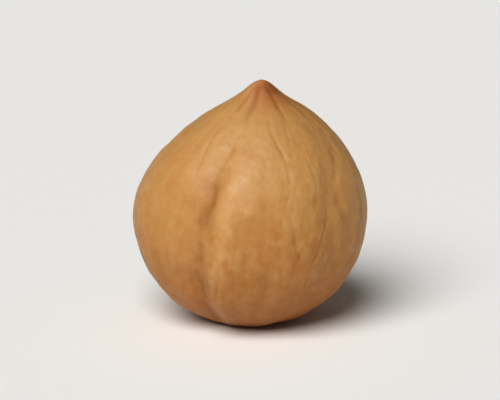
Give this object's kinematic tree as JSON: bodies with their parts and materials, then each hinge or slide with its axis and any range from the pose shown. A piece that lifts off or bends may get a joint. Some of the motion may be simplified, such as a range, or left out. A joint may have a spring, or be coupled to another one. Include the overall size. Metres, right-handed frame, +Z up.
{
  "type": "hazelnut kernel",
  "caption": "Whole blanched hazelnut kernel: round body, blunt pointed tip and a furrow between its halves, standing on a small flat spot.",
  "frame": {"origin": "on the surface that the kernel stands on, under the middle of its outline seen from above", "axes": "+Z up towards the tip, X across the two halves (the widest way), -Y the side with the deep furrow at its left"},
  "size_m": [0.0142, 0.0132, 0.015],
  "materials": {
    "blanched_kernel": "skinned nut flesh: golden tan, satin and slightly oily, paler on its ridges, darker in its furrows, with a few brown flecks of skin"
  },
  "bodies": {
    "root": {"hazelnut_kernel": "blanched_kernel"}
  },
  "joints": []
}
